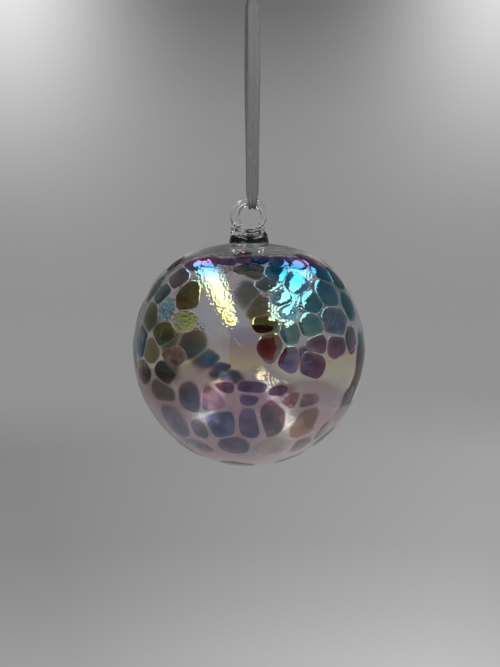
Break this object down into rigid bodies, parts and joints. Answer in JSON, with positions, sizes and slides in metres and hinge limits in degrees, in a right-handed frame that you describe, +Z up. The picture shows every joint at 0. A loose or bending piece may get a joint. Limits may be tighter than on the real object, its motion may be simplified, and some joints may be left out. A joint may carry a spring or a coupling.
{
  "type": "glass ball ornament",
  "caption": "Hollow blown-glass ball with fused coloured patches and a milky veil, a sealed neck with a glass loop, and a narrow satin ribbon loop tied in a knot.",
  "frame": {"origin": "the hanging point, under the ribbon's knot where a hook, peg or twig holds the ribbon loop", "axes": "+Z up along the ribbon, -Y towards the viewer, so that +X is to the right in the front view"},
  "size_m": [0.0994, 0.0992, 0.2248],
  "materials": {
    "clear_glass": "clear, fire-polished, with a thin rainbow lustre",
    "amethyst_glass": "transparent, fused, fire-polished",
    "blue_glass": "transparent, fused, fire-polished",
    "olive_glass": "transparent, fused, fire-polished",
    "amber_glass": "transparent, fused, fire-polished",
    "milk_glass": "milky, translucent, fused",
    "satin_ribbon": "satin weave with fine ribs"
  },
  "bodies": {
    "knot": {"ribbon_knot": "satin_ribbon", "ribbon_tails": "satin_ribbon"},
    "collar": {"knot_collar": "satin_ribbon"},
    "ribbon": {"ribbon_front_strand": "satin_ribbon", "ribbon_back_strand": "satin_ribbon"},
    "bight": {"ribbon_bight": "satin_ribbon"},
    "ball": {"ball_shell": "clear_glass", "seal_button": "clear_glass", "loop_foot": "clear_glass", "hanging_loop": "clear_glass", "loop_curl": "clear_glass", "glass_threads": "clear_glass", "amethyst_patches": "amethyst_glass", "blue_patches": "blue_glass", "olive_patches": "olive_glass", "amber_patches": "amber_glass", "milk_veil": "milk_glass"}
  },
  "joints": [
    {"name": "side_swing", "type": "hinge", "parent": "knot", "child": "collar", "pos_m": [0, 0, -0.0027], "axis": [0, 1, 0], "range_deg": [-25, 25]},
    {"name": "front_swing", "type": "hinge", "parent": "collar", "child": "ribbon", "pos_m": [0, 0, -0.0027], "axis": [1, 0, 0], "range_deg": [-25, 25]},
    {"name": "ribbon_twist", "type": "hinge", "parent": "ribbon", "child": "bight", "pos_m": [0, 0, -0.088], "axis": [0, 0, 1], "range_deg": [-160, 160]},
    {"name": "ball_tilt", "type": "hinge", "parent": "bight", "child": "ball", "pos_m": [0, 0, -0.09247], "axis": [1, 0, 0], "range_deg": [-35, 35]}
  ]
}
